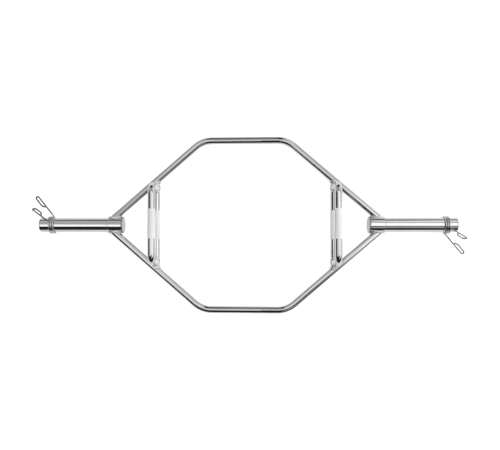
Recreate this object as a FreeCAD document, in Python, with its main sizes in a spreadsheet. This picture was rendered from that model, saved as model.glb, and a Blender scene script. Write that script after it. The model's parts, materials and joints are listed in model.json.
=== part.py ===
# Hex trap bar of chromed steel: a six-sided welded frame that the lifter stands in, a sleeve at
# each end for weight plates, a low and a raised grip at each side, and a spring collar on each
# sleeve. Sizes are in millimetres. The origin is on the floor under the middle of the bar, with X
# along the sleeves, Y to the rear and Z up. But for where the two collars sit, the bar looks the same
# when it is turned half round about Z, so every piece is drawn once, on the right or at the rear, and
# its twin is turned.

import FreeCAD
import Part
import Sketcher
import math
import os

doc = FreeCAD.newDocument("HexTrapBar")
sheet = doc.addObject("Spreadsheet::Sheet", "Sizes")

driving_sizes = {
    # sleeves and the parts that close them
    "sleeve_diameter": 50,
    "sleeve_wall": 4,
    "sleeve_length": 239,
    "cap_thickness": 4,
    "cap_chamfer": 1.5,
    "cap_plug_length": 14,
    "hub_diameter": 53,
    "hub_bore": 32,
    "hub_spigot_length": 30,
    "plate_diameter": 58,
    "plate_thickness": 5,
    "plate_round": 2,
    "plate_spigot_length": 4,
    "fit_clearance": 0.1,
    # bent frame bars, measured between centre lines
    "bar_diameter": 25,
    "frame_depth": 588,
    "corner_spacing": 293,
    "frame_bend_radius": 88,
    # the hub's bare ends, on each side of where the frame bars land on it
    "inner_land": 8.2,
    "shoulder_land": 1.6,
    # grips
    "grip_spacing": 616,
    "grip_to_plate": 116,
    "raised_height": 100,
    "raised_foot_inset": 27,
    "raised_bend_radius": 28,
    # welds
    "root_gap": 0.2,
    "bead_size": 4,
    # spring collars
    "wire_diameter": 5.4,
    "collar_clearance": 0.85,
    "rest_flat_depth": 0.5,
    "left_collar_inset": 42,
    "right_collar_inset": 35.5,
    "coil_gap": 0.6,
    "whole_turns": 3,
    "inner_arm_angle": 42,
    "outer_arm_angle": 43,
    "inner_arm_lean": 42,
    "outer_arm_lean": 14.5,
    "arm_bend_angle": 66,
    "arm_bend_radius": 8,
    "arm_length": 79,
    "loop_radius": 7,
    "loop_straight": 23,
    "loop_closing_angle": 33,
    "loop_closing_radius": 10,
    "loop_end_gap": 0.6,
}
for row, (alias, value) in enumerate(driving_sizes.items(), 1):
    sheet.set(f"A{row}", alias)
    sheet.set(f"B{row}", str(value))
    sheet.setAlias(f"B{row}", alias)
doc.recompute()

# Places that follow from the driving sizes, as expressions.
sleeve_radius = "(Sizes.sleeve_diameter / 2)"
sleeve_bore_radius = f"({sleeve_radius} - Sizes.sleeve_wall)"
hub_radius = "(Sizes.hub_diameter / 2)"
hub_bore_radius = "(Sizes.hub_bore / 2)"
plate_radius = "(Sizes.plate_diameter / 2)"
bar_radius = "(Sizes.bar_diameter / 2)"
cope_radius = f"({bar_radius} + Sizes.root_gap)"
corner_x = "(Sizes.corner_spacing / 2)"
corner_y = "(Sizes.frame_depth / 2)"
grip_x = "(Sizes.grip_spacing / 2)"
plate_inner = f"({grip_x} + Sizes.grip_to_plate)"
hub_inner = f"({plate_inner} + Sizes.plate_thickness)"

# A frame bar's leg runs from the corner to the hub, where its inner side lands clear of the hub's end.
# The hub is as long as the leg's slanting foot and the bare ends beside it.
landing_x = f"({hub_inner} + Sizes.inner_land)"
landing_run = f"({landing_x} - {corner_x})"
landing_drop = f"({corner_y} - {hub_radius})"
half_width_angle = f"asin({bar_radius} / hypot({landing_run}; {landing_drop}))"
leg_angle = f"(atan2({landing_drop}; {landing_run}) - {half_width_angle})"
hub_outer = f"({landing_x} + Sizes.bar_diameter / sin({leg_angle}) + Sizes.shoulder_land)"
hub_length = f"({hub_outer} - {hub_inner})"
sleeve_end = f"({hub_outer} + Sizes.sleeve_length)"
sleeve_tip = f"({sleeve_end} + Sizes.cap_thickness)"
leg_run = f"({corner_y} / tan({leg_angle}))"
apex_x = f"({corner_x} + {leg_run})"
grip_end_y = f"({corner_y} * ({apex_x} - {grip_x}) / {leg_run})"
raised_y = f"({grip_end_y} - Sizes.raised_foot_inset)"
coil_outer_radius = f"({sleeve_radius} + Sizes.collar_clearance + Sizes.wire_diameter)"
axis_height = f"({coil_outer_radius} - Sizes.rest_flat_depth)"


def number(expression):
    return float(FreeCAD.Units.Quantity(sheet.evalExpression(str(expression))).Value)


pieces = []


def hand_over(piece, half_turn):
    """Stand a finished piece at the sleeve's height, turned half round if it is a twin."""
    if half_turn:
        piece.Placement.Rotation = FreeCAD.Rotation(FreeCAD.Vector(0, 0, 1), 180)
    piece.setExpression("Placement.Base.z", axis_height)
    pieces.append(piece)
    return piece


def new_body(label):
    body = doc.addObject("PartDesign::Body", label)
    body.Label = label
    return body


def datum(body, role):
    return next(feature for feature in body.Origin.OriginFeatures if feature.Role == role)


def sketch_on(body, plane, name):
    sketch = body.newObject("Sketcher::SketchObject", f"{body.Name}_{name}")
    sketch.AttachmentSupport = [(datum(body, plane), "")]
    sketch.MapMode = "FlatFace"
    return sketch


def point(at):
    return FreeCAD.Vector(number(at[0]), number(at[1]), 0)


def tie(sketch, kind, *where, to):
    """Add a constraint whose value is bound to an expression."""
    index = sketch.addConstraint(Sketcher.Constraint(kind, *where, number(to)))
    sketch.setExpression(f"Constraints[{index}]", str(to))


def tie_point(sketch, geometry, end, at):
    """Hold one end of a line, or a point, at bound coordinates."""
    for kind, axis, to in (("DistanceX", -2, at[0]), ("DistanceY", -1, at[1])):
        if number(to) == 0:
            sketch.addConstraint(Sketcher.Constraint("PointOnObject", geometry, end, axis))
        else:
            tie(sketch, kind, -1, 1, geometry, end, to=to)


def outline(sketch, corners):
    """Draw a closed run of lines through bound corners."""
    count = len(corners)
    for index in range(count):
        ends = point(corners[index]), point(corners[(index + 1) % count])
        sketch.addGeometry(Part.LineSegment(*ends), False)
    for index in range(count):
        following = (index + 1) % count
        sketch.addConstraint(Sketcher.Constraint("Coincident", index, 2, following, 1))
        tie_point(sketch, index, 1, corners[index])


def strip_along(sketch, start, end, width):
    """Draw a strip beside the line from start to end, and return that line as the turning axis."""
    first, last = point(start), point(end)
    aside = FreeCAD.Vector(last.y - first.y, first.x - last.x, 0).normalize() * number(width)
    corners = [first, last, last + aside, first + aside]
    for index in range(4):
        sketch.addGeometry(Part.LineSegment(corners[index], corners[(index + 1) % 4]), False)
    for index in range(4):
        sketch.addConstraint(Sketcher.Constraint("Coincident", index, 2, (index + 1) % 4, 1))
    axis = sketch.addGeometry(Part.LineSegment(first, last), True)
    sketch.addConstraint(Sketcher.Constraint("Coincident", axis, 1, 0, 1))
    sketch.addConstraint(Sketcher.Constraint("Coincident", axis, 2, 0, 2))
    sketch.addConstraint(Sketcher.Constraint("Perpendicular", 0, 1))
    sketch.addConstraint(Sketcher.Constraint("Perpendicular", 0, 3))
    sketch.addConstraint(Sketcher.Constraint("Parallel", 0, 2))
    tie(sketch, "Distance", 1, to=width)
    tie_point(sketch, 0, 1, start)
    tie_point(sketch, 0, 2, end)
    return (sketch, ["Axis0"])


def turned(body, kind, sketch, axis):
    feature = body.newObject(kind, f"{sketch.Name}_turned")
    feature.Profile = sketch
    feature.ReferenceAxis = axis
    feature.Angle = 360
    body.Tip = feature
    return feature


def bent_bar(body, path, profile):
    feature = body.newObject("PartDesign::AdditivePipe", f"{body.Name}_bar")
    feature.Profile = profile
    feature.Spine = path
    body.Tip = feature
    return feature


def mirrored(body, features, plane):
    feature = body.newObject("PartDesign::Mirrored", f"{body.Name}_mirrored")
    feature.Originals = features
    feature.MirrorPlane = (datum(body, plane), [""])
    body.Tip = feature
    return feature


def bar_circle(body, plane, at):
    sketch = sketch_on(body, plane, "section")
    sketch.addGeometry(Part.Circle(point(at), FreeCAD.Vector(0, 0, 1), number(bar_radius)), False)
    tie(sketch, "Radius", 0, to=bar_radius)
    tie_point(sketch, 0, 3, at)
    return sketch


def bent_path(sketch, start, corner, end, radius):
    """Draw a line, a bend and a line that would meet at the corner."""
    first, turn, last = point(start), point(corner), point(end)
    before = (first - turn).normalize()
    after = (last - turn).normalize()
    half_angle = before.getAngle(after) / 2
    reach = number(radius) / math.tan(half_angle)
    middle = (before + after).normalize()
    centre = turn + middle * (number(radius) / math.sin(half_angle))
    bend_start, bend_end = turn + before * reach, turn + after * reach
    turns_left = before.cross(after).z < 0
    arc_first, arc_last = (bend_start, bend_end) if turns_left else (bend_end, bend_start)
    arc_ends = (1, 2) if turns_left else (2, 1)
    circle = Part.Circle(centre, FreeCAD.Vector(0, 0, 1), number(radius))
    bend = Part.ArcOfCircle(circle, circle.parameter(arc_first), circle.parameter(arc_last))
    sketch.addGeometry(Part.LineSegment(first, bend_start), False)
    sketch.addGeometry(bend, False)
    sketch.addGeometry(Part.LineSegment(bend_end, last), False)
    sketch.addGeometry(Part.Point(turn), True)
    sketch.addConstraint(Sketcher.Constraint("Tangent", 0, 2, 1, arc_ends[0]))
    sketch.addConstraint(Sketcher.Constraint("Tangent", 1, arc_ends[1], 2, 1))
    sketch.addConstraint(Sketcher.Constraint("PointOnObject", 3, 1, 0))
    sketch.addConstraint(Sketcher.Constraint("PointOnObject", 3, 1, 2))
    tie(sketch, "Radius", 1, to=radius)
    tie_point(sketch, 0, 1, start)
    tie_point(sketch, 3, 1, corner)
    tie_point(sketch, 2, 2, end)


def make_frame_bar(label, half_turn):
    """One bent bar from hub to hub. Half is swept from the middle, coped round the hub, mirrored."""
    body = new_body(label)
    path = sketch_on(body, "XY_Plane", "path")
    bent_path(path, (0, corner_y), (corner_x, corner_y), (apex_x, 0), "Sizes.frame_bend_radius")
    section = bar_circle(body, "YZ_Plane", (corner_y, 0))
    bar = bent_bar(body, path, section)
    cope = sketch_on(body, "XY_Plane", "cope")
    reach = f"({hub_radius} + Sizes.root_gap)"
    past_hub = f"({apex_x} + Sizes.hub_diameter)"
    before_hub = f"({plate_inner} - Sizes.hub_diameter)"
    outline(cope, [(before_hub, 0), (past_hub, 0), (past_hub, reach), (before_hub, reach)])
    fish_mouth = turned(body, "PartDesign::Groove", cope, (datum(body, "X_Axis"), [""]))
    mirrored(body, [bar, fish_mouth], "YZ_Plane")
    hand_over(body, half_turn)


def make_sleeve(label, half_turn):
    """The tube that the plates slide onto."""
    body = new_body(label)
    wall = sketch_on(body, "XY_Plane", "wall")
    outline(wall, [
        (hub_outer, sleeve_bore_radius),
        (sleeve_end, sleeve_bore_radius),
        (sleeve_end, sleeve_radius),
        (hub_outer, sleeve_radius),
    ])
    turned(body, "PartDesign::Revolution", wall, (datum(body, "X_Axis"), [""]))
    hand_over(body, half_turn)


def make_hub(label, half_turn):
    """The thicker stub that the frame is welded to. Its shoulder stops the plates."""
    body = new_body(label)
    half_section = sketch_on(body, "XY_Plane", "half_section")
    spigot_end = f"({hub_outer} + Sizes.hub_spigot_length)"
    spigot_radius = f"({sleeve_bore_radius} - Sizes.fit_clearance)"
    outline(half_section, [
        (hub_inner, hub_bore_radius),
        (spigot_end, hub_bore_radius),
        (spigot_end, spigot_radius),
        (hub_outer, spigot_radius),
        (hub_outer, hub_radius),
        (hub_inner, hub_radius),
    ])
    turned(body, "PartDesign::Revolution", half_section, (datum(body, "X_Axis"), [""]))
    hand_over(body, half_turn)


def round_rims(body, feature, radius, reach):
    """Round every round edge of the given radius."""
    rims = []
    for index, edge in enumerate(feature.Shape.Edges, 1):
        is_rim = isinstance(edge.Curve, Part.Circle)
        if is_rim and abs(edge.Curve.Radius - number(reach)) < 0.001:
            rims.append(f"Edge{index}")
    rounded = body.newObject("PartDesign::Fillet", f"{body.Name}_rims")
    rounded.Base = (feature, rims)
    rounded.Radius = number(radius)
    rounded.setExpression("Radius", radius)
    body.Tip = rounded


def make_inner_plate(label, half_turn):
    """The round plate that closes the hub towards the lifter."""
    body = new_body(label)
    half_section = sketch_on(body, "XY_Plane", "half_section")
    spigot_end = f"({hub_inner} + Sizes.plate_spigot_length)"
    spigot_radius = f"({hub_bore_radius} - Sizes.fit_clearance)"
    outline(half_section, [
        (plate_inner, 0),
        (spigot_end, 0),
        (spigot_end, spigot_radius),
        (hub_inner, spigot_radius),
        (hub_inner, plate_radius),
        (plate_inner, plate_radius),
    ])
    disc = turned(body, "PartDesign::Revolution", half_section, (datum(body, "X_Axis"), [""]))
    doc.recompute()
    round_rims(body, disc, "Sizes.plate_round", plate_radius)
    hand_over(body, half_turn)


def make_end_cap(label, half_turn):
    """The chamfered cap at the sleeve's tip, with a plug that sits in the tube."""
    body = new_body(label)
    half_section = sketch_on(body, "XY_Plane", "half_section")
    plug_start = f"({sleeve_end} - Sizes.cap_plug_length)"
    plug_radius = f"({sleeve_bore_radius} - Sizes.fit_clearance)"
    rim_radius = f"({sleeve_radius} - Sizes.cap_chamfer)"
    chamfer_start = f"({sleeve_tip} - Sizes.cap_chamfer)"
    outline(half_section, [
        (plug_start, 0),
        (sleeve_tip, 0),
        (sleeve_tip, rim_radius),
        (chamfer_start, sleeve_radius),
        (sleeve_end, sleeve_radius),
        (sleeve_end, plug_radius),
        (plug_start, plug_radius),
    ])
    turned(body, "PartDesign::Revolution", half_section, (datum(body, "X_Axis"), [""]))
    hand_over(body, half_turn)


def make_low_grip(label, half_turn):
    """The straight bar across the frame at one side, coped round the frame bars."""
    body = new_body(label)
    half_section = sketch_on(body, "XY_Plane", "half_section")
    far_side = f"({grip_x} + {bar_radius})"
    outline(half_section, [
        (grip_x, 0),
        (far_side, 0),
        (far_side, grip_end_y),
        (grip_x, grip_end_y),
    ])
    middle = half_section.addGeometry(Part.LineSegment(point((grip_x, 0)),
                                                       point((grip_x, grip_end_y))), True)
    half_section.addConstraint(Sketcher.Constraint("Coincident", middle, 1, 0, 1))
    half_section.addConstraint(Sketcher.Constraint("Coincident", middle, 2, 2, 2))
    bar = turned(body, "PartDesign::Revolution", half_section, (half_section, ["Axis0"]))
    cope = sketch_on(body, "XY_Plane", "cope")
    axis = strip_along(cope, (apex_x, 0), (corner_x, corner_y), cope_radius)
    fish_mouth = turned(body, "PartDesign::Groove", cope, axis)
    mirrored(body, [bar, fish_mouth], "XZ_Plane")
    hand_over(body, half_turn)


def make_raised_grip(label, half_turn):
    """The bent bar that stands on the low grip's ends, coped round it and round the frame."""
    body = new_body(label)
    path = sketch_on(body, "YZ_Plane", "path")
    path.setExpression("AttachmentOffset.Base.z", grip_x)
    height = "Sizes.raised_height"
    bent_path(path, (0, height), (raised_y, height), (raised_y, 0), "Sizes.raised_bend_radius")
    section = bar_circle(body, "XZ_Plane", (grip_x, height))
    bar = bent_bar(body, path, section)
    low_cope = sketch_on(body, "XY_Plane", "low_cope")
    past_leg = f"({raised_y} + Sizes.bar_diameter)"
    low_axis = strip_along(low_cope, (grip_x, 0), (grip_x, past_leg), cope_radius)
    low_mouth = turned(body, "PartDesign::Groove", low_cope, low_axis)
    frame_cope = sketch_on(body, "XY_Plane", "frame_cope")
    frame_axis = strip_along(frame_cope, (apex_x, 0), (corner_x, corner_y), cope_radius)
    frame_mouth = turned(body, "PartDesign::Groove", frame_cope, frame_axis)
    mirrored(body, [bar, low_mouth, frame_mouth], "XZ_Plane")
    hand_over(body, half_turn)


def rod(name, radius, start, length, turn):
    """A plain cylinder along X turned about Z, or upright where no turn is given."""
    cylinder = doc.addObject("Part::Cylinder", name)
    cylinder.setExpression("Radius", radius)
    cylinder.setExpression("Height", length)
    heading = "rotationz(0)" if turn is None else f"rotationz({turn}) * rotationy(90)"
    base = f"vector({start[0]}; {start[1]}; {start[2]})"
    cylinder.setExpression("Placement", f"placement({base}; {heading})")
    return cylinder


def combined(kind, name, base, tool):
    feature = doc.addObject(kind, name)
    feature.Base = base
    feature.Tool = tool
    return feature


def front_and_rear(label, bead, half_turn):
    """One node for the weld at the rear and its mirror image at the front."""
    twin = doc.addObject("Part::Mirroring", f"{label}_front")
    twin.Source = bead
    twin.Normal = FreeCAD.Vector(0, 1, 0)
    both = doc.addObject("Part::Compound", label)
    both.Label = label
    both.Links = [bead, twin]
    hand_over(both, half_turn)


def make_beads():
    """Weld beads that fill the corners where the bars meet, at the rear right of the frame."""
    bead_bar_radius = f"({bar_radius} + Sizes.bead_size)"
    heading = f"(180 deg - {leg_angle})"
    apex = (apex_x, 0, 0)
    leg_length = f"({leg_run} / cos({leg_angle}))"
    leg = rod("frame_leg", bar_radius, apex, leg_length, heading)
    leg_zone = rod("frame_leg_zone", bead_bar_radius, apex, leg_length, heading)

    hub_start = (f"({hub_inner} + Sizes.root_gap)", 0, 0)
    hub_run = f"({hub_length} - 2 * Sizes.root_gap)"
    hub = rod("hub_round", hub_radius, (hub_inner, 0, 0), hub_length, "0 deg")
    hub_zone = rod("hub_zone", f"({hub_radius} + Sizes.bead_size)", hub_start, hub_run, "0 deg")
    corner = combined("Part::Common", "hub_corner", leg_zone, hub_zone)
    round_leg = combined("Part::Cut", "hub_bead_round_leg", corner, leg)
    hub_bead = combined("Part::Cut", "hub_bead", round_leg, hub)

    grip_start = (grip_x, 0, 0)
    low = rod("low_grip_round", bar_radius, grip_start, grip_end_y, "90 deg")
    low_zone = rod("low_grip_zone", bead_bar_radius, grip_start, grip_end_y, "90 deg")
    post_start = (grip_x, raised_y, 0)
    post_height = "(Sizes.raised_height / 2)"
    post = rod("raised_post", bar_radius, post_start, post_height, None)
    zone_start = (grip_x, raised_y, f"({bar_radius} / 3)")
    post_zone = rod("raised_post_zone", bead_bar_radius, zone_start, post_height, None)

    corner = combined("Part::Common", "low_corner", low_zone, leg_zone)
    round_low = combined("Part::Cut", "low_bead_round_grip", corner, low)
    round_leg = combined("Part::Cut", "low_bead_round_leg", round_low, leg)
    low_bead = combined("Part::Cut", "low_bead", round_leg, post)

    corner = combined("Part::Common", "raised_corner", post_zone, low_zone)
    round_post = combined("Part::Cut", "raised_bead_round_post", corner, post)
    round_low = combined("Part::Cut", "raised_bead_round_grip", round_post, low)
    round_leg = combined("Part::Cut", "raised_bead_round_leg", round_low, leg)
    raised_bead = combined("Part::Cut", "raised_bead", round_leg, low_bead)
    return hub_bead, low_bead, raised_bead


class CollarWire:
    """The course of one collar's wire round its own middle, X outward and the arms to the front."""

    def __init__(self):
        self.wire = number("Sizes.wire_diameter")
        self.radius = number(f"{coil_outer_radius} - Sizes.wire_diameter / 2")
        self.pitch = number("Sizes.wire_diameter + Sizes.coil_gap")
        self.first = math.radians(number("Sizes.inner_arm_angle"))
        spread = math.radians(number("Sizes.outer_arm_angle")) - self.first
        self.sweep = 2 * math.pi * number("Sizes.whole_turns") + spread
        self.start_x = -self.pitch * self.sweep / (4 * math.pi)

    def outward(self, angle):
        return FreeCAD.Vector(0, -math.cos(angle), math.sin(angle))

    def on_coil(self, turned_by):
        angle = self.first + turned_by
        along = self.start_x + self.pitch * turned_by / (2 * math.pi)
        return FreeCAD.Vector(along, 0, 0) + self.outward(angle) * self.radius

    def tangent(self, turned_by):
        angle = self.first + turned_by
        around = FreeCAD.Vector(0, math.sin(angle), math.cos(angle)) * self.radius
        return (around + FreeCAD.Vector(self.pitch / (2 * math.pi), 0, 0)).normalize()

    def coil_edges(self):
        """A straight end, quarter turns of two arcs each, and a straight end."""
        quarters = math.ceil(self.sweep / (math.pi / 2))
        stops = [self.sweep * index / quarters for index in range(quarters + 1)]
        first, last = self.on_coil(0), self.on_coil(self.sweep)
        lead_in = first - self.tangent(0) * self.wire
        lead_out = last + self.tangent(self.sweep) * self.wire
        edges = [Part.makeLine(lead_in, first)]
        for start, stop in zip(stops, stops[1:]):
            edges += biarc(self.on_coil(start), self.tangent(start),
                           self.on_coil(stop), self.tangent(stop))
        edges.append(Part.makeLine(last, lead_out))
        return edges

    def arm_edges(self, turned_by, heading, lean, loop_side):
        """A bend out of the coil, a straight leg, and a loop that closes on the leg."""
        along = self.tangent(turned_by) * heading
        root = self.on_coil(turned_by) + along * self.wire
        outward = self.outward(self.first + turned_by)
        square = outward * math.cos(lean) + FreeCAD.Vector(math.sin(lean), 0, 0)
        square = (square - along * square.dot(along)).normalize()
        bend = math.radians(number("Sizes.arm_bend_angle"))
        out = square * math.sin(bend) + along * math.cos(bend)
        reach = number("Sizes.arm_bend_radius") * math.tan(bend / 2)
        corner = root + along * reach
        foot = corner + out * reach
        aside = along.cross(square) * loop_side
        return [bend_edge(root, corner, foot)] + loop_edges(foot, out, aside, self.wire)


def bend_edge(start, corner, end):
    """The arc that leaves start towards the corner and arrives at end from the corner."""
    chord_middle = (start + end) * 0.5
    half_chord = start.distanceToPoint(end) / 2
    half_turn = math.acos(min(1, half_chord / start.distanceToPoint(corner)))
    rise = (corner - chord_middle).normalize() * (half_chord * math.tan(half_turn / 2))
    return Part.Arc(start, chord_middle + rise, end).toShape()


def biarc(start, start_way, end, end_way):
    """Two arcs that join two points and keep the way the wire runs at each."""
    chord = end - start
    both = start_way + end_way
    spread = 2 * (1 - start_way.dot(end_way))
    along = chord.dot(both)
    reach = (math.sqrt(along ** 2 + spread * chord.dot(chord)) - along) / spread
    first_corner = start + start_way * reach
    last_corner = end - end_way * reach
    joint = (first_corner + last_corner) * 0.5
    return [bend_edge(start, first_corner, joint), bend_edge(joint, last_corner, end)]


def loop_edges(foot, out, aside, wire):
    """The leg and its loop in one plane: out along the leg, round the tip and back to the leg."""
    reach = number("Sizes.arm_length")
    radius = number("Sizes.loop_radius")
    closing = math.radians(number("Sizes.loop_closing_angle"))
    closing_radius = number("Sizes.loop_closing_radius")

    def at(along, across):
        return foot + out * along + aside * across

    tip = reach + radius
    back = reach - number("Sizes.loop_straight")
    corner = back - closing_radius * math.tan(closing / 2)
    turn_reach = back - corner
    closing_start = at(corner - turn_reach * math.cos(closing),
                       2 * radius - turn_reach * math.sin(closing))
    end_height = wire + number("Sizes.loop_end_gap")
    end_along = corner - (2 * radius - end_height) / math.tan(closing)
    return [
        Part.makeLine(foot, at(reach, 0)),
        bend_edge(at(reach, 0), at(tip, 0), at(tip, radius)),
        bend_edge(at(tip, radius), at(tip, 2 * radius), at(reach, 2 * radius)),
        Part.makeLine(at(reach, 2 * radius), at(back, 2 * radius)),
        bend_edge(at(back, 2 * radius), at(corner, 2 * radius), closing_start),
        Part.makeLine(closing_start, at(end_along, end_height)),
    ]


def tube_along(edges, wire):
    """One unbroken round wire along the edges."""
    first = edges[0]
    start = first.valueAt(first.FirstParameter)
    way = first.tangentAt(first.FirstParameter)
    section = Part.Wire(Part.Circle(start, way, wire / 2).toShape())
    return Part.Wire(edges).makePipeShell([section], True, False)


def flat_below(shape):
    """The coil with the small flats under its turns that the bar lies on."""
    room = shape.BoundBox
    floor = FreeCAD.Vector(room.XMin, room.YMin, room.ZMin)
    height = -number(axis_height) - room.ZMin
    return shape.cut(Part.makeBox(room.XLength, room.YLength, height, floor))


def least_gap(edges, wire):
    """The least space between stretches of one wire that lie apart along it."""
    step = wire / 4
    course = []
    for edge in Part.__sortEdges__(edges):
        course += edge.discretize(Number=max(3, round(edge.Length / step)))
    travelled = [0]
    for before, after in zip(course, course[1:]):
        travelled.append(travelled[-1] + before.distanceToPoint(after))
    least = math.inf
    for index, spot in enumerate(course):
        for other in range(index + 1, len(course)):
            if travelled[other] - travelled[index] > 3 * wire:
                least = min(least, spot.distanceToPoint(course[other]) - wire)
    return least


def make_collars():
    """Each collar is one bent wire, kept as its coil and its two arms so that it can be squeezed."""
    course = CollarWire()
    coil = course.coil_edges()
    lean = math.radians(number("Sizes.inner_arm_lean"))
    inner_arm = course.arm_edges(0, -1, lean, -1)
    lean = math.radians(number("Sizes.outer_arm_lean"))
    outer_arm = course.arm_edges(course.sweep, 1, lean, -1)
    whole = list(reversed(inner_arm)) + coil + outer_arm
    print(f"collar wire: least gap to itself {least_gap(whole, course.wire):.2f} mm")
    shapes = {
        "collar_coil": flat_below(tube_along(coil, course.wire)),
        "collar_inner_arm": tube_along(inner_arm, course.wire),
        "collar_outer_arm": tube_along(outer_arm, course.wire),
    }
    for side, half_turn, outward in (("right", False, 1), ("left", True, -1)):
        for name, shape in shapes.items():
            piece = doc.addObject("Part::Feature", f"{side}_{name}")
            piece.Label = f"{side}_{name}"
            piece.Shape = shape
            hand_over(piece, half_turn)
            middle = f"{outward} * ({sleeve_tip} - Sizes.{side}_collar_inset)"
            piece.setExpression("Placement.Base.x", middle)


make_frame_bar("rear_frame_bar", False)
make_frame_bar("front_frame_bar", True)
beads = make_beads()
for side, half_turn in (("right", False), ("left", True)):
    make_sleeve(f"{side}_sleeve", half_turn)
    make_hub(f"{side}_hub", half_turn)
    make_inner_plate(f"{side}_inner_plate", half_turn)
    make_end_cap(f"{side}_end_cap", half_turn)
    make_low_grip(f"{side}_low_grip", half_turn)
    make_raised_grip(f"{side}_raised_grip", half_turn)
    for weld, bead in zip(("hub_welds", "low_grip_welds", "raised_grip_welds"), beads):
        front_and_rear(f"{side}_{weld}", bead, half_turn)
make_collars()
doc.recompute()

for thing in doc.Objects:
    if "Invalid" in thing.State or "Error" in thing.State:
        raise RuntimeError(f"{thing.Label} did not build: {thing.State}")
os.makedirs("parts", exist_ok=True)
for piece in pieces:
    if piece.Shape.isNull() or not piece.Shape.isValid():
        raise RuntimeError(f"{piece.Label} has no sound shape")
    piece.Shape.exportStep(f"parts/{piece.Label}.step")
    print(f"{piece.Label}: {len(piece.Shape.Solids)} solid, {piece.Shape.Volume / 1000:.1f} cm3")
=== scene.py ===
import bpy
import bmesh
import json
import math
from mathutils import Matrix, Vector


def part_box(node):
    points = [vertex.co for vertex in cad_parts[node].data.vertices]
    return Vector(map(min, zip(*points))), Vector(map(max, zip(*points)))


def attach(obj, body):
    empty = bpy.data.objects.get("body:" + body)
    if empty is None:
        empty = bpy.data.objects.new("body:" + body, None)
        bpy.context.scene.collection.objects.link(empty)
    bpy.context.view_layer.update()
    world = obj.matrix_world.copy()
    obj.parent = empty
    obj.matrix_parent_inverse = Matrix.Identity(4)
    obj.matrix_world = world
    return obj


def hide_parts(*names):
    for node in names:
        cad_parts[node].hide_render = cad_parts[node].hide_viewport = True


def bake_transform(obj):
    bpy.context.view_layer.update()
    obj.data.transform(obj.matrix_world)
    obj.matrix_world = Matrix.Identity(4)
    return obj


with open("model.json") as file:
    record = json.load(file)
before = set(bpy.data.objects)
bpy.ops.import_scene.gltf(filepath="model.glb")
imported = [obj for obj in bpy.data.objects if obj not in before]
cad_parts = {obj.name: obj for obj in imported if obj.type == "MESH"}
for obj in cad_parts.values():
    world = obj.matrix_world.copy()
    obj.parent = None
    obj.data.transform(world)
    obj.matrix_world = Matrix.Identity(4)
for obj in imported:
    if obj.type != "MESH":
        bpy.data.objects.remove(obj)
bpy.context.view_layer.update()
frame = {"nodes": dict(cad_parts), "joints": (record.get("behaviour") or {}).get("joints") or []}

nodes = frame["nodes"]
joints = {joint["name"]: joint for joint in frame["joints"]}
scene = bpy.context.scene
scene.view_settings.view_transform = "Standard"
sides = {"left": -1, "right": 1}  # which way along X each end points
axisHeight = joints["right_collar_squeeze"]["pos_m"][2]  # the sleeves' middle line above the floor
print("frame:", len(nodes), "nodes, axis at", round(axisHeight * 1000, 2), "mm")


def micron(value):
    # a size read from a node, which holds single precision, rounded to a micrometre
    return round(value, 6)


gripLow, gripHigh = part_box("right_raised_grip")
gripX = micron((gripLow.x + gripHigh.x) / 2)  # the raised grip stands right over the low one
barRadius = micron((gripHigh.x - gripLow.x) / 2)  # grips and frame bars are the same round bar


def addNode(tree, kind, at, **settings):
    node = tree.nodes.new(kind)
    node.location = at
    for key, value in settings.items():
        setattr(node, key, value)
    return node


def setInputs(node, **values):
    for key, value in values.items():
        node.inputs[key.replace("_", " ")].default_value = value
    return node


def mathNode(tree, at, operation, first, second):
    node = addNode(tree, "ShaderNodeMath", at, operation=operation)
    for socket, source in zip(node.inputs, (first, second)):
        if isinstance(source, (int, float)):
            socket.default_value = source
        else:
            tree.links.new(source, socket)
    return node.outputs[0]


def rampNode(tree, at, source, stops):
    # a grey ramp between two stops of (place, level)
    node = addNode(tree, "ShaderNodeValToRGB", at)
    for mark, (place, level) in zip(node.color_ramp.elements, stops):
        mark.position = place
        mark.color = (level, level, level, 1)
    tree.links.new(source, node.inputs[0])
    return node.outputs[0]


def newGroup(name, inputs, outputs):
    group = bpy.data.node_groups.new(name, "ShaderNodeTree")
    kinds = {"colour": "NodeSocketColor", "value": "NodeSocketFloat"}
    for label, kind in inputs:
        group.interface.new_socket(label, in_out="INPUT", socket_type=kinds[kind])
    for label, kind in outputs:
        group.interface.new_socket(label, in_out="OUTPUT", socket_type=kinds[kind])
    start = addNode(group, "NodeGroupInput", (-1200, 0))
    end = addNode(group, "NodeGroupOutput", (900, 0))
    return group, start.outputs, end.inputs


toneLooks = {"cloudStops": ((0.3, 0.93), (0.7, 1.0)), "smearStops": ((0.42, 0.0), (0.75, 1.0)),
             "lineStops": ((0.60, 0.0), (0.72, 1.0)), "cloudRelief": 0.35, "lineRelief": -0.4,
             # hairlines run two ways: turn about X, Y and Z, and stretch
             "lineLays": (((0.3, 0.18, 0.3), (900.0, 14.0, 900.0)),
                          ((-0.5, -0.3, -0.5), (700.0, 900.0, 18.0)))}


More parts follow.
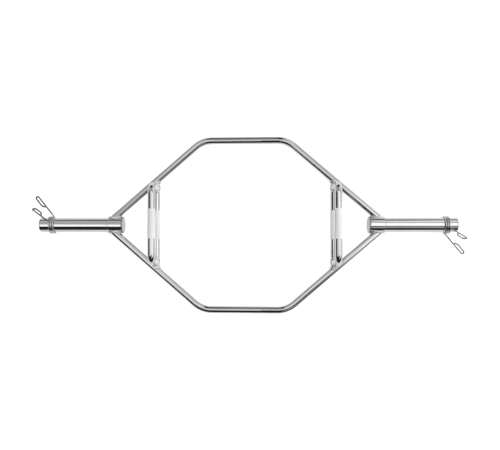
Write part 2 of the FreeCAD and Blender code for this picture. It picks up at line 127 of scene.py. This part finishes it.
def makePlatingTone():
    # cloudy plating, faint haze and hairline polishing marks
    s = toneLooks
    group, take, give = newGroup(
        "platingTone",
        [("Plating", "colour"), ("Polish", "value"), ("Haze", "value"), ("Hairlines", "value")],
        [("Colour", "colour"), ("Roughness", "value"), ("Height", "value")])
    link = group.links.new
    spot = addNode(group, "ShaderNodeTexCoord", (-1200, 400)).outputs["Object"]
    cloud = addNode(group, "ShaderNodeTexNoise", (-900, 400))
    setInputs(cloud, Scale=7.0, Detail=3.0, Roughness=0.55)
    link(spot, cloud.inputs["Vector"])
    smear = addNode(group, "ShaderNodeTexNoise", (-900, 150))
    setInputs(smear, Scale=38.0, Detail=5.0, Roughness=0.6)
    link(spot, smear.inputs["Vector"])
    cuts = []
    for turn, stretch in s["lineLays"]:
        lay = setInputs(addNode(group, "ShaderNodeMapping", (-1000, -200)), Rotation=turn, Scale=stretch)
        link(spot, lay.inputs["Vector"])
        lines = setInputs(addNode(group, "ShaderNodeTexNoise", (-800, -200)), Scale=1.0, Detail=2.0)
        link(lay.outputs[0], lines.inputs["Vector"])
        cuts.append(rampNode(group, (-600, -200), lines.outputs["Fac"], s["lineStops"]))
    marks = mathNode(group, (-300, -200), "MAXIMUM", *cuts)
    shade = rampNode(group, (-600, 400), cloud.outputs["Fac"], s["cloudStops"])
    tint = addNode(group, "ShaderNodeMix", (-200, 400), data_type="RGBA", blend_type="MULTIPLY")
    tint.inputs["Factor"].default_value = 1.0
    link(take["Plating"], tint.inputs["A"])
    link(shade, tint.inputs["B"])
    link(tint.outputs["Result"], give["Colour"])
    patches = rampNode(group, (-600, 150), smear.outputs["Fac"], s["smearStops"])
    hazy = mathNode(group, (-100, 150), "MULTIPLY", patches, take["Haze"])
    scored = mathNode(group, (-100, -50), "MULTIPLY", marks, take["Hairlines"])
    dull = mathNode(group, (100, 150), "ADD", hazy, scored)
    link(mathNode(group, (300, 150), "ADD", take["Polish"], dull), give["Roughness"])
    wavy = mathNode(group, (100, -150), "MULTIPLY", cloud.outputs["Fac"], s["cloudRelief"])
    sunk = mathNode(group, (100, -300), "MULTIPLY", scored, s["lineRelief"])
    link(mathNode(group, (300, -200), "ADD", wavy, sunk), give["Height"])
    return group


def makeTurnedLines():
    # rings left by the lathe, closer or wider along X
    group, take, give = newGroup("turnedLines", [("Rings", "value"), ("Depth", "value")],
                                 [("Height", "value"), ("Mask", "value")])
    link = group.links.new
    spot = addNode(group, "ShaderNodeTexCoord", (-1200, 200)).outputs["Object"]
    split = addNode(group, "ShaderNodeSeparateXYZ", (-1000, 200))
    link(spot, split.inputs[0])
    along = mathNode(group, (-800, 200), "MULTIPLY", split.outputs["X"], take["Rings"])
    rings = addNode(group, "ShaderNodeTexNoise", (-600, 200), noise_dimensions="1D")
    setInputs(rings, Scale=1.0, Detail=3.0)
    link(along, rings.inputs["W"])
    link(rings.outputs["Fac"], give["Mask"])
    link(mathNode(group, (-300, 200), "MULTIPLY", rings.outputs["Fac"], take["Depth"]), give["Height"])
    return group


def makePaintedShadeByReach():
    # how far a spot lies from the sleeve's axis, 0 near it and 1 farther out, where painted shade darkens the
    # colour
    group, take, give = newGroup("paintedShadeByReach", [("From", "value"), ("To", "value")], [("Mask", "value")])
    link = group.links.new
    spot = addNode(group, "ShaderNodeTexCoord", (-1200, 200)).outputs["Object"]
    split = addNode(group, "ShaderNodeSeparateXYZ", (-1000, 200))
    link(spot, split.inputs[0])
    above = mathNode(group, (-800, 100), "SUBTRACT", split.outputs["Z"], axisHeight)
    flat = addNode(group, "ShaderNodeCombineXYZ", (-600, 200))
    link(split.outputs["Y"], flat.inputs["Y"])
    link(above, flat.inputs["Z"])
    away = addNode(group, "ShaderNodeVectorMath", (-400, 200), operation="LENGTH")
    link(flat.outputs[0], away.inputs[0])
    worn = addNode(group, "ShaderNodeMapRange", (-100, 200), interpolation_type="SMOOTHSTEP")
    link(away.outputs["Value"], worn.inputs["Value"])
    link(take["From"], worn.inputs["From Min"])
    link(take["To"], worn.inputs["From Max"])
    link(worn.outputs["Result"], give["Mask"])
    return group


platingTone = makePlatingTone()
turnedLines = makeTurnedLines()
paintedShadeByReach = makePaintedShadeByReach()

barFinish = {"plating": (0.54, 0.545, 0.55), "polish": 0.02, "haze": 0.025, "hairlines": 0.03, "relief": 0.04}
sleeveFinish = {"plating": (0.56, 0.565, 0.57), "polish": 0.03, "haze": 0.03, "hairlines": 0.05,
                "relief": 0.04, "rings": 2600.0, "ringDepth": 0.08, "ringDull": 0.04}
capFinish = {"plating": (0.46, 0.465, 0.47), "polish": 0.06, "haze": 0.06, "hairlines": 0.06,
             "relief": 0.05, "rings": 5200.0, "ringDepth": 0.16, "ringDull": 0.04}
# the plate's low plating and its darker rim are painted shade for the shadowed floor it reflects
plateFinishAndShade = {"plating": (0.44, 0.445, 0.45), "polish": 0.06, "haze": 0.06, "hairlines": 0.06,
               "relief": 0.05, "paintedShade": (0.31, 0.313, 0.316), "shadeFrom": 0.0205, "shadeTo": 0.0285}
weldFinish = {"plating": (0.80, 0.805, 0.81), "polish": 0.32, "haze": 0.10, "hairlines": 0.03, "relief": 0.12}
# past the coil, the collar arms are darkened by painted shade standing in for the dark surroundings they
# reflect
wireFinish = {"plating": (0.50, 0.505, 0.51), "polish": 0.05, "haze": 0.04, "hairlines": 0.05,
              "relief": 0.05, "shadeFrom": 0.031, "shadeTo": 0.046}
wirePaintedShade = {"left": (0.13, 0.133, 0.136), "right": (0.29, 0.295, 0.30)}  # painted shade on the collar arms past the coil, deeper on the left collar
knurlFinish = {"plating": (0.97, 0.972, 0.975), "polish": 0.42, "haze": 0.12, "hairlines": 0.05,
               "relief": 0.08, "metal": 0.15}


def chromeMaterial(name, finish):
    material = bpy.data.materials.new(name)
    material.use_nodes = True
    tree = material.node_tree
    link = tree.links.new
    shader = tree.nodes["Principled BSDF"]
    shader.inputs["Metallic"].default_value = finish.get("metal", 1.0)
    tone = addNode(tree, "ShaderNodeGroup", (-700, 200), node_tree=platingTone)
    setInputs(tone, Plating=(*finish["plating"], 1), Polish=finish["polish"], Haze=finish["haze"],
              Hairlines=finish["hairlines"])
    colour = tone.outputs["Colour"]
    # painted shade: the colour darkens away from the sleeve's axis
    if "paintedShade" in finish:
        shadeReach = addNode(tree, "ShaderNodeGroup", (-700, 500), node_tree=paintedShadeByReach)
        setInputs(shadeReach, From=finish["shadeFrom"], To=finish["shadeTo"])
        paintShade = addNode(tree, "ShaderNodeMix", (-400, 400), data_type="RGBA")
        paintShade.inputs["B"].default_value = (*finish["paintedShade"], 1)
        link(shadeReach.outputs["Mask"], paintShade.inputs["Factor"])
        link(colour, paintShade.inputs["A"])
        colour = paintShade.outputs["Result"]
    link(colour, shader.inputs["Base Color"])
    roughness, height = tone.outputs["Roughness"], tone.outputs["Height"]
    if "rings" in finish:
        lathe = addNode(tree, "ShaderNodeGroup", (-700, -200), node_tree=turnedLines)
        setInputs(lathe, Rings=finish["rings"], Depth=finish["ringDepth"])
        height = mathNode(tree, (-450, -200), "ADD", height, lathe.outputs["Height"])
        worn = mathNode(tree, (-450, 0), "MULTIPLY", lathe.outputs["Mask"], finish["ringDull"])
        roughness = mathNode(tree, (-250, 0), "ADD", roughness, worn)
    link(roughness, shader.inputs["Roughness"])
    relief = addNode(tree, "ShaderNodeBump", (-250, -200))
    setInputs(relief, Strength=finish["relief"], Distance=0.0004)
    link(height, relief.inputs["Height"])
    link(relief.outputs["Normal"], shader.inputs["Normal"])
    return material


barChrome = chromeMaterial("barChrome", barFinish)
sleeveChrome = chromeMaterial("sleeveChrome", sleeveFinish)
capChrome = chromeMaterial("capChrome", capFinish)
plateChrome = chromeMaterial("plateChrome", plateFinishAndShade)
weldChrome = chromeMaterial("weldChrome", weldFinish)
springWire = {side: chromeMaterial(f"{side}SpringWire", {**wireFinish, "paintedShade": wirePaintedShade[side]})
              for side in sides}
knurlChrome = chromeMaterial("knurlChrome", knurlFinish)
print("finishes:", len(bpy.data.materials), "materials")


def finishPiece(name, bm, material, smooth=True):
    mesh = bpy.data.meshes.new(name)
    bm.to_mesh(mesh)
    bm.free()
    mesh.materials.append(material)
    mesh.polygons.foreach_set("use_smooth", [smooth] * len(mesh.polygons))
    piece = bpy.data.objects.new(name, mesh)
    scene.collection.objects.link(piece)
    return piece


turnSettings = {"around": 112, "roundSteps": 4, "merge": 0.000005, "onCorner": 0.00001, "faceWeight": 100}


def turnPiece(name, corners, closed, out, material):
    # corners are (along, radius, rounding) of a half section that is spun round the sleeve's axis
    s = turnSettings
    bm = bmesh.new()
    line = [bm.verts.new((out * along, 0, axisHeight + radius)) for along, radius, _ in corners]
    for pair in zip(line, line[1:]):
        bm.edges.new(pair)
    if closed:
        bm.edges.new((line[-1], line[0]))
    bmesh.ops.spin(bm, geom=bm.verts[:] + bm.edges[:], cent=(0, 0, axisHeight), axis=(1, 0, 0),
                   angle=math.tau, steps=s["around"], use_merge=True)
    bmesh.ops.remove_doubles(bm, verts=bm.verts, dist=s["merge"])
    bmesh.ops.recalc_face_normals(bm, faces=bm.faces)
    for along, radius, rounding in corners:
        if not rounding:
            continue
        rim = []
        for edge in bm.edges:
            spots = [(abs(v.co.x), math.hypot(v.co.y, v.co.z - axisHeight)) for v in edge.verts]
            if all(max(abs(x - along), abs(r - radius)) < s["onCorner"] for x, r in spots):
                rim.append(edge)
        bmesh.ops.bevel(bm, geom=rim, offset=rounding, offset_type="OFFSET", segments=s["roundSteps"],
                        profile=0.5, affect="EDGES", material=-1)
    piece = finishPiece(name, bm, material)
    even = piece.modifiers.new("evenShading", "WEIGHTED_NORMAL")
    even.weight = s["faceWeight"]
    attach(piece, "frame")


plateLow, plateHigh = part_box("right_inner_plate")
hubLow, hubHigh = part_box("right_hub")
sleeveLow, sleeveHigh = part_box("right_sleeve")
capLow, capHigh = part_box("right_end_cap")
endSizes = {"plateInner": micron(plateLow.x), "plateEnd": micron(plateHigh.x),
            "hubInner": micron(hubLow.x), "hubOuter": micron(sleeveLow.x), "spigotEnd": micron(hubHigh.x),
            "plugStart": micron(capLow.x), "sleeveEnd": micron(sleeveHigh.x), "sleeveTip": micron(capHigh.x),
            "plateRadius": micron(plateHigh.y), "hubRadius": micron(hubHigh.y),
            "sleeveRadius": micron(sleeveHigh.y), "hubBore": 0.016, "sleeveBore": 0.021, "fit": 0.0001,
            "capChamfer": 0.0015, "seamRound": 0.0005, "grooveRound": 0.0010, "shoulderRound": 0.0014,
            "plateRound": 0.0024}


def makeEnd(side, out):
    s = endSizes
    inHub, inSleeve = s["hubBore"] - s["fit"], s["sleeveBore"] - s["fit"]  # radii of what sits in the bores
    turnPiece(f"{side}_sleeve_tube", [
        (s["hubOuter"], s["sleeveBore"], 0), (s["hubOuter"], s["sleeveRadius"], s["grooveRound"]),
        (s["sleeveEnd"], s["sleeveRadius"], s["seamRound"]), (s["sleeveEnd"], s["sleeveBore"], 0),
    ], True, out, sleeveChrome)
    turnPiece(f"{side}_hub_stub", [
        (s["hubInner"], s["hubBore"], 0), (s["spigotEnd"], s["hubBore"], 0),
        (s["spigotEnd"], inSleeve, 0), (s["hubOuter"], inSleeve, 0),
        (s["hubOuter"], s["hubRadius"], s["shoulderRound"]), (s["hubInner"], s["hubRadius"], s["seamRound"]),
    ], True, out, sleeveChrome)
    turnPiece(f"{side}_plate_disc", [
        (s["plateInner"], 0, 0), (s["plateInner"], s["plateRadius"], s["plateRound"]),
        (s["hubInner"], s["plateRadius"], s["plateRound"]), (s["hubInner"], inHub, 0),
        (s["plateEnd"], inHub, 0), (s["plateEnd"], 0, 0),
    ], False, out, plateChrome)
    turnPiece(f"{side}_cap_plug", [
        (s["plugStart"], 0, 0), (s["plugStart"], inSleeve, 0),
        (s["sleeveEnd"], inSleeve, 0), (s["sleeveEnd"], s["sleeveRadius"], s["seamRound"]),
        (s["sleeveTip"] - s["capChamfer"], s["sleeveRadius"], s["seamRound"]),
        (s["sleeveTip"], s["sleeveRadius"] - s["capChamfer"], s["seamRound"]), (s["sleeveTip"], 0, 0),
    ], False, out, capChrome)
    for made, node in (("sleeve_tube", "sleeve"), ("hub_stub", "hub"), ("plate_disc", "inner_plate"),
                       ("cap_plug", "end_cap")):
        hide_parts(f"{side}_{node}")


for side, out in sides.items():
    makeEnd(side, out)
print("ends: sleeves, hubs, plates and caps turned")


knurlSizes = {"raisedHeight": 0.100, "length": 0.100, "rows": 124, "around": 100, "merge": 0.00001,
              "valley": 0.00008, "peak": 0.00034, "sunk": -0.0001}  # the last three over the bar's surface


def makeKnurl(name, x, z):
    s = knurlSizes
    bm = bmesh.new()
    step = s["length"] / s["rows"]
    line = [bm.verts.new((x, row * step - s["length"] / 2, z + barRadius + s["peak"]))
            for row in range(s["rows"] + 1)]
    for pair in zip(line, line[1:]):
        bm.edges.new(pair)
    bmesh.ops.spin(bm, geom=bm.verts[:] + bm.edges[:], cent=(x, 0, z), axis=(0, 1, 0), angle=math.tau,
                   steps=s["around"], use_merge=True)
    bmesh.ops.remove_doubles(bm, verts=bm.verts, dist=s["merge"])
    for vert in bm.verts:
        away = Vector((vert.co.x - x, 0, vert.co.z - z)).normalized()
        row = round((vert.co.y + s["length"] / 2) / step)
        turn = round(math.atan2(away.x, away.z) / math.tau * s["around"])
        lift = s["peak"] if (row + turn) % 2 else s["valley"]
        if row in (0, s["rows"]):
            lift = s["sunk"]
        vert.co = Vector((x, vert.co.y, z)) + away * (barRadius + lift)
    bmesh.ops.recalc_face_normals(bm, faces=bm.faces)
    bmesh.ops.triangulate(bm, faces=bm.faces, quad_method="SHORT_EDGE")  # splits along the valleys
    piece = finishPiece(name, bm, knurlChrome, smooth=False)
    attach(piece, "frame")


for side, out in sides.items():
    makeKnurl(f"{side}_low_knurl", out * gripX, axisHeight)
    makeKnurl(f"{side}_raised_knurl", out * gripX, axisHeight + knurlSizes["raisedHeight"])
print("grips: four knurled bands")


weldSizes = {"bead": 0.0042, "raisedBead": 0.0033, "ripple": 0.0026, "rippleHeight": 0.07,
             "raisedY": 0.12756, "legAngle": 40.807,
             "apexX": 0.487021,  # where the legs' middle lines cross the sleeve's
             "samples": 720, "pointsPerRipple": 6, "fewestRipples": 8, "sideSteps": 5,
             # a bead is thinnest where both surfaces run into each other, and full at a wide corner
             "thinnest": 0.35, "fullCorner": 1.0, "lift": 0.3, "sharpest": 0.25}
legAngle = math.radians(weldSizes["legAngle"])
legWay = Vector((-math.cos(legAngle), math.sin(legAngle), 0))
legSide = Vector((legWay.y, -legWay.x, 0))  # square to the leg, away from the lifter
apex = Vector((weldSizes["apexX"], 0, 0))
lowMiddle = Vector((gripX, 0, 0))
footMiddle = Vector((gripX, weldSizes["raisedY"], 0))


def hubSeam(turn):
    # where the leg's surface meets the hub's, with both surfaces' normals
    legNormal = legSide * math.cos(turn) + Vector((0, 0, math.sin(turn)))
    around = apex + legNormal * barRadius
    hubRadius = endSizes["hubRadius"]
    run = (math.sqrt(hubRadius ** 2 - around.z ** 2) - around.y) / legWay.y
    spot = around + legWay * run
    return spot, legNormal, Vector((0, spot.y, spot.z)) / hubRadius


def lowSeam(turn):
    # where the low grip's surface meets the leg's
    gripNormal = Vector((math.cos(turn), 0, math.sin(turn)))
    spot = lowMiddle + gripNormal * barRadius
    inward = -abs(math.cos(turn)) * barRadius
    spot.y = (inward - (spot.x - apex.x) * legSide.x) / legSide.y
    return spot, gripNormal, (legSide * inward + Vector((0, 0, spot.z))) / barRadius


def raisedSeam(turn):
    # where the raised grip's foot meets the low grip or the leg, whichever is higher
    footNormal = Vector((math.cos(turn), math.sin(turn), 0))
    spot = footMiddle + footNormal * barRadius
    overLow = math.sqrt(max(0, barRadius ** 2 - (spot.x - gripX) ** 2))
    aside = (spot - apex).dot(legSide)
    overLeg = math.sqrt(max(0, barRadius ** 2 - aside ** 2))
    spot.z = max(overLow, overLeg)
    if overLeg > overLow:
        return spot, footNormal, (legSide * aside + Vector((0, 0, spot.z))) / barRadius
    return spot, footNormal, Vector((spot.x - gripX, 0, spot.z)) / barRadius


def beadMesh(seam, bead):
    # a bead laid along a seam in short overlapping ripples, at the rear right of the frame
    s = weldSizes
    spots = []
    for index in range(s["samples"]):
        spot, first, second = seam(math.tau * index / s["samples"])
        corner = first.angle(second, 0.0)  # 0 where the surfaces run into each other
        size = bead * (s["thinnest"] + (1 - s["thinnest"]) * min(1, corner / s["fullCorner"]))
        out = s["lift"] * size / max(s["sharpest"], math.cos(corner / 2))
        spots.append((spot + (first + second).normalized() * out, size))
    lengths = [(spots[i][0] - spots[i - 1][0]).length for i in range(s["samples"])]
    count = max(s["fewestRipples"], round(sum(lengths) / s["ripple"]))
    step = sum(lengths) / count / s["pointsPerRipple"]
    travelled, laid, course = 0.0, 0.0, []
    for (spot, size), length in zip(spots, lengths):
        travelled += length
        if travelled >= laid:
            swell = abs(math.sin(math.pi * len(course) / s["pointsPerRipple"]))
            course.append((spot, size * (1 + s["rippleHeight"] * swell)))
            laid += step
    line = bpy.data.curves.new("beadLine", "CURVE")
    line.dimensions = "3D"
    line.bevel_depth = 1.0  # each point's radius gives the bead's size
    line.bevel_resolution = s["sideSteps"]
    spline = line.splines.new("POLY")
    spline.points.add(len(course) - 1)
    spline.use_cyclic_u = True
    for point, (spot, size) in zip(spline.points, course):
        point.co = (*spot, 1)
        point.radius = size
    holder = bpy.data.objects.new("beadLine", line)
    scene.collection.objects.link(holder)
    bpy.context.view_layer.update()
    mesh = bpy.data.meshes.new_from_object(holder.evaluated_get(bpy.context.evaluated_depsgraph_get()))
    bpy.data.objects.remove(holder)
    return mesh


def makeWelds(kind, seam, bead):
    rear = beadMesh(seam, bead)
    for side, out in sides.items():
        bm = bmesh.new()
        bm.from_mesh(rear)
        bmesh.ops.mirror(bm, geom=bm.verts[:] + bm.edges[:] + bm.faces[:], axis="Y", merge_dist=0)
        if out < 0:
            bmesh.ops.rotate(bm, verts=bm.verts, matrix=Matrix.Rotation(math.pi, 3, "Z"))
        bmesh.ops.translate(bm, verts=bm.verts, vec=(0, 0, axisHeight))
        bmesh.ops.recalc_face_normals(bm, faces=bm.faces)
        piece = finishPiece(f"{side}_{kind}_beads", bm, weldChrome)
        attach(piece, "frame")
        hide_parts(f"{side}_{kind}_welds")


makeWelds("hub", hubSeam, weldSizes["bead"])
makeWelds("low_grip", lowSeam, weldSizes["bead"])
makeWelds("raised_grip", raisedSeam, weldSizes["raisedBead"])
print("welds: rippled beads at hubs and grips")


coilSizes = {"wire": 0.0054, "radius": 0.02855, "pitch": 0.006, "first": 42.0, "sweep": 1081.0,
             "lead": 0.0054, "reach": 0.0063, "steps": 168, "sides": 24, "merge": 0.000001, "sharp": 35.0}


def ofKind(geom, kind):
    return [part for part in geom if isinstance(part, kind)]


def makeCoil(side, out):
    s = coilSizes
    first, sweep = math.radians(s["first"]), math.radians(s["sweep"])
    acrossY, acrossZ = math.cos(first) * s["radius"], math.sin(first) * s["radius"]
    start = Vector((-s["pitch"] * sweep / (2 * math.tau), -acrossY, acrossZ))
    way = Vector((s["pitch"] / math.tau, acrossZ, acrossY)).normalized()
    bm = bmesh.new()
    bmesh.ops.create_circle(bm, segments=s["sides"], radius=s["wire"] / 2)
    bmesh.ops.rotate(bm, verts=bm.verts, matrix=Vector((0, 0, 1)).rotation_difference(way).to_matrix())
    bmesh.ops.translate(bm, verts=bm.verts, vec=start - way * s["lead"])
    grown = bmesh.ops.extrude_edge_only(bm, edges=bm.edges)["geom"]
    bmesh.ops.translate(bm, verts=ofKind(grown, bmesh.types.BMVert), vec=way * s["lead"])
    ring = ofKind(grown, bmesh.types.BMEdge)
    ringVerts = list({v for e in ring for v in e.verts})
    turned = bmesh.ops.spin(bm, geom=ring + ringVerts, cent=(0, 0, 0), axis=(-1, 0, 0), angle=sweep,
                            dvec=(s["pitch"] * sweep / math.tau / s["steps"], 0, 0), steps=s["steps"])
    last = ofKind(turned["geom_last"], bmesh.types.BMEdge)
    endWay = Matrix.Rotation(sweep, 3, (-1, 0, 0)) @ way
    grown = bmesh.ops.extrude_edge_only(bm, edges=last)["geom"]
    bmesh.ops.translate(bm, verts=ofKind(grown, bmesh.types.BMVert), vec=endWay * s["lead"])
    bmesh.ops.holes_fill(bm, edges=bm.edges)
    bmesh.ops.remove_doubles(bm, verts=bm.verts, dist=s["merge"])
    bmesh.ops.recalc_face_normals(bm, faces=bm.faces)
    if out < 0:
        bmesh.ops.rotate(bm, verts=bm.verts, matrix=Matrix.Rotation(math.pi, 3, "Z"))
    middle = Vector(joints[f"{side}_collar_squeeze"]["pos_m"])
    bmesh.ops.translate(bm, verts=bm.verts, vec=middle)
    # small flats that the bar lies on
    bmesh.ops.bisect_plane(bm, geom=bm.verts[:] + bm.edges[:] + bm.faces[:], plane_co=(0, 0, 0),
                           plane_no=(0, 0, 1), clear_inner=True)
    bmesh.ops.holes_fill(bm, edges=bm.edges)
    piece = finishPiece(f"{side}_spring_coil", bm, springWire[side])
    piece.data.set_sharp_from_angle(angle=math.radians(s["sharp"]))
    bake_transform(piece)
    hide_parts(f"{side}_collar_coil")


for side, out in sides.items():
    makeCoil(side, out)
print("collars: two wound coils")


nodeFinishes = {"sleeve": sleeveChrome, "hub": sleeveChrome, "inner_plate": plateChrome, "end_cap": capChrome,
                "low_grip": barChrome, "raised_grip": barChrome, "frame_bar": barChrome}
for name, node in nodes.items():
    place, kind = name.split("_", 1)
    if kind.endswith("welds"):
        finish = weldChrome
    elif kind.startswith("collar"):
        finish = springWire[place]
    else:
        finish = nodeFinishes[kind]
    node.data.materials.clear()
    node.data.materials.append(finish)
print("solids:", len(nodes), "nodes given their finishes")


stageSizes = {"floor": 9.0, "rimSteps": 96, "floorTone": 0.80, "seenGlow": 0.70, "mirrorGlow": 0.48}


def makeFloor():
    s = stageSizes
    bm = bmesh.new()
    bmesh.ops.create_circle(bm, cap_ends=True, radius=s["floor"], segments=s["rimSteps"])
    mesh = bpy.data.meshes.new("floor")
    bm.to_mesh(mesh)
    bm.free()
    floor = bpy.data.objects.new("floor", mesh)
    scene.collection.objects.link(floor)
    material = bpy.data.materials.new("paleFloor")
    material.use_nodes = True
    tree = material.node_tree
    link = tree.links.new
    tree.nodes.remove(tree.nodes["Principled BSDF"])
    paint = addNode(tree, "ShaderNodeBsdfDiffuse", (-200, 0))
    paint.inputs["Color"].default_value = (s["floorTone"],) * 3 + (1,)
    path = addNode(tree, "ShaderNodeLightPath", (-600, 300))
    seen = mathNode(tree, (-450, 350), "MULTIPLY", path.outputs["Is Camera Ray"], s["seenGlow"])
    mirrored = mathNode(tree, (-450, 200), "MULTIPLY", path.outputs["Is Glossy Ray"], s["mirrorGlow"])
    glow = addNode(tree, "ShaderNodeEmission", (-200, 200))
    link(mathNode(tree, (-300, 300), "MAXIMUM", seen, mirrored), glow.inputs["Strength"])
    both = addNode(tree, "ShaderNodeAddShader", (0, 100))
    link(paint.outputs[0], both.inputs[0])
    link(glow.outputs[0], both.inputs[1])
    link(both.outputs[0], tree.nodes["Material Output"].inputs["Surface"])
    mesh.materials.append(material)


roomShade = 0.03
roomPanels = {  # degrees round from +X, down from overhead, from middle to rim, of soft edge, then brightness
    "rearLeftCard": (122, 59, 15, 3, 0.74),
    "rearCard": (66, 61, 10, 2, 1.45),
    "leftCard": (150, 76, 12, 5, 0.6),
    "rightCard": (35, 41, 23, 2, 0.68),
    "window": (25, 95, 30, 12, 1.13),
    "rightWall": (343, 51, 17, 6, 1.5),
    "rightFlag": (300, 44, 11, 4, 0.58),
    "leftWall": (140, 34, 20, 2, 0.65),
    "rearSlit": (91, 50, 4, 2, 1.0),
    "rearRightCard": (67, 42, 7, 2, 1.03),
    "rearSkirt": (92, 88, 20, 3, 0.03)}


def makeRoom():
    # dark studio with cards and flags round it, each laid over the ones before, and white to the camera
    world = bpy.data.worlds.new("studioRoom")
    scene.world = world
    world.use_nodes = True
    tree = world.node_tree
    link = tree.links.new
    way = addNode(tree, "ShaderNodeTexCoord", (-1600, 0)).outputs["Generated"]
    room = None
    for index, (*angles, bright) in enumerate(roomPanels.values()):
        turn, down, wide, soft = [math.radians(angle) for angle in angles]
        across = -1400 + index * 120
        aim = addNode(tree, "ShaderNodeVectorMath", (across, 300), operation="DOT_PRODUCT")
        aim.inputs[1].default_value = (math.sin(down) * math.cos(turn), math.sin(down) * math.sin(turn),
                                       math.cos(down))
        link(way, aim.inputs[0])
        edge = addNode(tree, "ShaderNodeMapRange", (across, 100), interpolation_type="SMOOTHSTEP")
        setInputs(edge, From_Min=math.cos(wide + soft), From_Max=math.cos(wide))
        link(aim.outputs["Value"], edge.inputs["Value"])
        lay = addNode(tree, "ShaderNodeMix", (across, -100), data_type="FLOAT")
        setInputs(lay, A=roomShade, B=bright)
        link(edge.outputs["Result"], lay.inputs["Factor"])
        if room is not None:
            link(room, lay.inputs["A"])
        room = lay.outputs["Result"]
    path = addNode(tree, "ShaderNodeLightPath", (-200, 300))
    white = mathNode(tree, (0, 100), "MAXIMUM", room, path.outputs["Is Camera Ray"])
    plain = tree.nodes["Background"]
    plain.inputs["Color"].default_value = (1, 1, 1, 1)
    link(white, plain.inputs["Strength"])


softBoxes = {"left": {"at": (-1.475, -0.62, 2.6), "size": (0.95, 1.50), "bright": 1.75},
             "right": {"at": (1.36, 0.05, 2.6), "size": (0.86, 1.70), "bright": 1.85},
             "top": {"at": (0.0, 0.63, 3.1), "size": (2.10, 1.86), "bright": 1.02},
             "topFrontLeft": {"at": (-0.475, -0.80, 3.1), "size": (1.15, 1.00), "bright": 1.02},
             "topFrontRight": {"at": (0.575, -0.57, 3.1), "size": (0.95, 0.54), "bright": 0.58},
             "fill": {"at": (1.25, 0.1, 1.9), "size": (0.90, 0.80), "bright": 4.70, "mirrored": False}}


def makeLights():
    for name, box in softBoxes.items():
        lamp = bpy.data.lights.new(f"{name}SoftBox", "AREA")
        lamp.shape = "RECTANGLE"
        lamp.size, lamp.size_y = box["size"]
        lamp.energy = box["bright"] * math.pi * lamp.size * lamp.size_y
        holder = bpy.data.objects.new(f"{name}SoftBox", lamp)
        holder.location = box["at"]
        holder.visible_glossy = box.get("mirrored", True)  # the fill lights the knurl but shows in no tube
        scene.collection.objects.link(holder)


viewSizes = {"at": (0.0314, -0.08528, 1.93033), "turn": (1.3051, 3.0474, 0.1220), "sensor": 36.0,
             "lens": 39.4036, "shift": (0.051, 0.024)}


def makeCamera():
    s = viewSizes
    camera = bpy.data.cameras.new("photoView")
    camera.sensor_width = s["sensor"]
    camera.lens = s["lens"]
    camera.shift_x, camera.shift_y = s["shift"]
    holder = bpy.data.objects.new("photoView", camera)
    holder.location = s["at"]
    holder.rotation_euler = [math.radians(angle) for angle in s["turn"]]
    scene.collection.objects.link(holder)
    scene.camera = holder


makeFloor()
makeRoom()
makeLights()
makeCamera()
print("stage: floor, room,", len(softBoxes), "soft boxes, camera")
